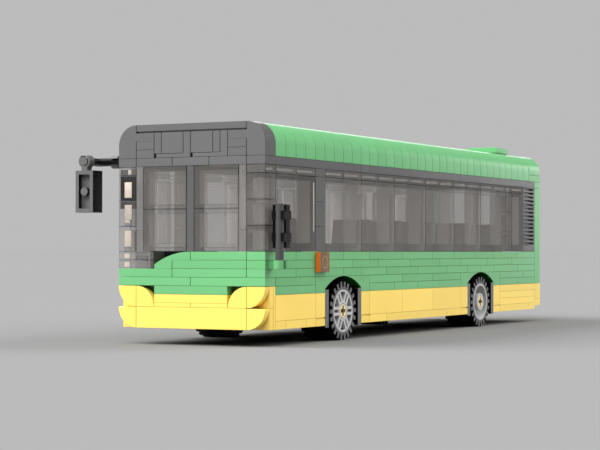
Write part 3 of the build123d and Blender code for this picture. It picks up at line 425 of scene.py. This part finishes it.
# painted highlights and painted shade: pale pads and near-black pads within the front wall of the right
# corner's bricks, and in the post beside them
corner = {
    "thick": 0.2 * mm, "ease": 0.08 * mm, "glintDepth": 0.6 * mm, "shadeDepth": 1.0 * mm,
    # near and far line, top and foot level
    "glints": ((7.32, 7.5, 5.3, 5.85), (7.3, 7.7, 6.75, 8.6), (7.3, 7.7, 9.45, 11.2),
               (7.32, 7.7, 12.5, 14.4), (7.4, 7.7, 11.25, 11.6), (7.4, 7.7, 15.25, 15.8),
               (7.4, 7.7, 16.2, 16.85)),
    "shades": ((7.03, 7.97, 5.25, 5.98), (7.03, 7.97, 6.05, 8.95), (7.03, 7.97, 9.05, 9.9),
               (6.7, 6.8, 5.3, 9.9)),
}


def addCornerPads(places, depth):
    cornerPads = []
    for near, far, top, foot in places:
        low = onGrid(0, far, foot) - Vector((depth + corner["thick"], 0, 0))
        high = onGrid(0, near, top) - Vector((depth, 0, 0))
        cornerPads.append(addPad(low, high, corner["ease"]))
    return joinAll(cornerPads)


dress(addCornerPads(corner["glints"], corner["glintDepth"]), "cornerGlints", "brightHighlight")
dress(addCornerPads(corner["shades"], corner["shadeDepth"]), "cornerShades", "wellShadeBlack")
print("clear bricks lined")

# painted shade: a near-black sheet behind the foot of the windscreen, where the space lies in shade
footShade = {"studs": (1.08, 1.2), "lines": (3.2, 6.9), "levels": (14.9, 17.2), "ease": 0.1 * mm}
footShadeLow = onGrid(footShade["studs"][1], footShade["lines"][1], footShade["levels"][1])
footShadeHigh = onGrid(footShade["studs"][0], footShade["lines"][0], footShade["levels"][0])
dress(addPad(footShadeLow, footShadeHigh, footShade["ease"]), "windscreenFootShade", "wellShadeBlack")
print("shelf added")

# painted highlights: pale strips along the plates over the windows, and at the ends of the panes
paneLight = {
    "inset": 0.75 * mm, "thick": 0.2 * mm, "ease": 0.08 * mm,
    # a dash on each plate, given by its front and rear stud
    "plates": ((0, 1), (1, 3), (3, 5), (6, 8), (8, 10), (10, 12), (12, 14), (14, 16), (16, 18),
               (18, 20), (20, 22), (22, 24), (24, 26), (26, 28), (28, 30), (30, 31), (31, 33)),
    "dash": (5.35, 5.65), "dashEnd": 1.6 * mm,
    "joints": (10, 14, 18, 22, 26), "jointWide": 0.35 * mm, "jointRise": (6.6, 13.6),
    "glintStuds": (4.87, 4.97), "glintRise": (6.7, 12.6),
}
dashes = []
for side in (1, -1):
    rightFace = side * (grid["left"] - paneLight["inset"])
    leftFace = rightFace + paneLight["thick"]
    top, foot = (onGrid(0, 0, level).z for level in paneLight["dash"])
    for front, rear in paneLight["plates"]:
        low = Vector((onGrid(rear, 0, 0).x + paneLight["dashEnd"], rightFace, foot))
        high = Vector((onGrid(front, 0, 0).x - paneLight["dashEnd"], leftFace, top))
        dashes.append(addPad(low, high, paneLight["ease"]))
    top, foot = (onGrid(0, 0, level).z for level in paneLight["jointRise"])
    for stud in paneLight["joints"]:
        middle = onGrid(stud, 0, 0).x
        low = Vector((middle - 2 * paneLight["jointWide"], rightFace, foot))
        high = Vector((middle - paneLight["jointWide"], leftFace, top))
        dashes.append(addPad(low, high, paneLight["ease"]))
dress(joinAll(dashes), "paneLights", "paneHighlight")
glintLow = onGrid(paneLight["glintStuds"][1], 0, paneLight["glintRise"][1])
glintHigh = onGrid(paneLight["glintStuds"][0], 0, paneLight["glintRise"][0])
glintLow.y -= paneLight["inset"]
glintHigh.y -= paneLight["inset"] - paneLight["thick"]
dress(addPad(glintLow, glintHigh, paneLight["ease"]), "paneGlint", "brightHighlight")
print("panes lit")

# a faint ring on each indicator's lens
lens = {"radius": 2.5 * mm, "wide": 0.45 * mm, "clear": 0.01 * mm, "proud": 0.05 * mm, "sides": 32}
lensLow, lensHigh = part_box("indicators")
lensMiddle = (lensLow + lensHigh) / 2
rings = []
for side in (1, -1):
    ringPlace = (lensMiddle.x, side * (lensHigh.y + lens["clear"]), lensMiddle.z)
    bpy.ops.object.select_all(action="DESELECT")
    bpy.ops.mesh.primitive_circle_add(vertices=lens["sides"], radius=lens["radius"], fill_type="NGON",
                                      location=ringPlace, rotation=(-side * math.pi / 2, 0, 0))
    ring = bpy.context.object
    bpy.ops.object.transform_apply(location=True, rotation=True, scale=True)
    bpy.ops.object.mode_set(mode="EDIT")
    bpy.ops.mesh.select_all(action="SELECT")
    bpy.ops.mesh.inset(thickness=lens["wide"])
    bpy.ops.mesh.delete(type="FACE")
    bpy.ops.mesh.select_all(action="SELECT")
    bpy.ops.mesh.extrude_region_move(TRANSFORM_OT_translate={"value": (0, side * lens["proud"], 0)})
    bpy.ops.mesh.select_all(action="SELECT")
    bpy.ops.mesh.normals_make_consistent(inside=False)
    bpy.ops.object.mode_set(mode="OBJECT")
    rings.append(ring)
dress(joinAll(rings), "lensRings", "lensRing")
print("lens rings added")

# table top
table = {"size": 40, "shade": 0.197, "roughness": 0.9}
bpy.ops.object.select_all(action="DESELECT")
bpy.ops.mesh.primitive_plane_add(size=table["size"], location=(0, 0, 0))
floor = bpy.context.object
floor.name = "studioFloor"
floorMat = bpy.data.materials.new("studioFloor")
floorMat.use_nodes = True
floorLook = floorMat.node_tree.nodes["Principled BSDF"].inputs
floorLook["Base Color"].default_value = (table["shade"], table["shade"], table["shade"], 1)
floorLook["Roughness"].default_value = table["roughness"]
floorLook["Specular IOR Level"].default_value = 0.0
floor.data.materials.append(floorMat)

# studio: the backdrop shows grey and mirrors softly in the gloss, and adds little light of its own
room = {"backdrop": 0.5, "ambient": 0.03, "mirrored": 0.35}
world = bpy.data.worlds.new("studio")
bpy.context.scene.world = world
world.use_nodes = True
tree = world.node_tree
shown = tree.nodes["Background"]
shown.inputs["Color"].default_value = white
shown.inputs["Strength"].default_value = room["backdrop"]
dim = addNode(tree, "ShaderNodeBackground", (0, -200), Color=white, Strength=room["ambient"])
path = addNode(tree, "ShaderNodeLightPath", (-600, 200))
glint = addNode(tree, "ShaderNodeMath", (-400, 0))
glint.operation = "MULTIPLY"
glint.inputs[1].default_value = room["mirrored"]
either = addNode(tree, "ShaderNodeMath", (-200, 200))
either.operation = "MAXIMUM"
tree.links.new(path.outputs["Is Glossy Ray"], glint.inputs[0])
tree.links.new(path.outputs["Is Camera Ray"], either.inputs[0])
tree.links.new(glint.outputs["Value"], either.inputs[1])
mix = addNode(tree, "ShaderNodeMixShader", (200, 0))
tree.links.new(either.outputs["Value"], mix.inputs["Fac"])
tree.links.new(dim.outputs["Background"], mix.inputs[1])
tree.links.new(shown.outputs["Background"], mix.inputs[2])
tree.links.new(mix.outputs["Shader"], tree.nodes["World Output"].inputs["Surface"])

# wide lamps give the light; only the low ones and the one overhead show in the gloss
lamps = {
    "key": {"towards": (0.6, -1.0, 0.80), "strength": 5.1, "softness": 50, "glints": False},
    "front": {"towards": (1.0, 0.1, 0.95), "strength": 2.15, "softness": 36, "glints": False},
    "side": {"towards": (-0.9, 1.0, 0.70), "strength": 2.9, "softness": 45, "glints": False},
    "rear": {"towards": (-0.9, -0.45, 0.10), "strength": 0.35, "softness": 26, "glints": True},
    "tail": {"towards": (-1.0, 0.16, 0.10), "strength": 0.28, "softness": 18, "glints": True},
    "overhead": {"towards": (0.0, 0.0, 1.0), "strength": 2.1, "softness": 100, "glints": True},
}
for name, lamp in lamps.items():
    data = bpy.data.lights.new(name, "SUN")
    data.energy = lamp["strength"]
    data.angle = math.radians(lamp["softness"])
    light = bpy.data.objects.new(name, data)
    bpy.context.scene.collection.objects.link(light)
    light.visible_glossy = lamp["glints"]
    light.location = Vector(lamp["towards"])
    light.rotation_euler = (-Vector(lamp["towards"])).to_track_quat("-Z", "Y").to_euler()

# camera: low, in front of the left corner
view = {"at": (0.7028, 0.3421, 0.0350), "along": (-0.8838, -0.4679, 0.0152),
        "lens": 105.4, "sensor": 36, "nearest": 0.01}
camData = bpy.data.cameras.new("camera")
camData.sensor_width = view["sensor"]
camData.lens = view["lens"]
camData.clip_start = view["nearest"]
cam = bpy.data.objects.new("camera", camData)
bpy.context.scene.collection.objects.link(cam)
cam.location = view["at"]
cam.rotation_euler = Vector(view["along"]).to_track_quat("-Z", "Y").to_euler()
bpy.context.scene.camera = cam
bpy.context.scene.view_settings.view_transform = "Standard"
print("studio ready")
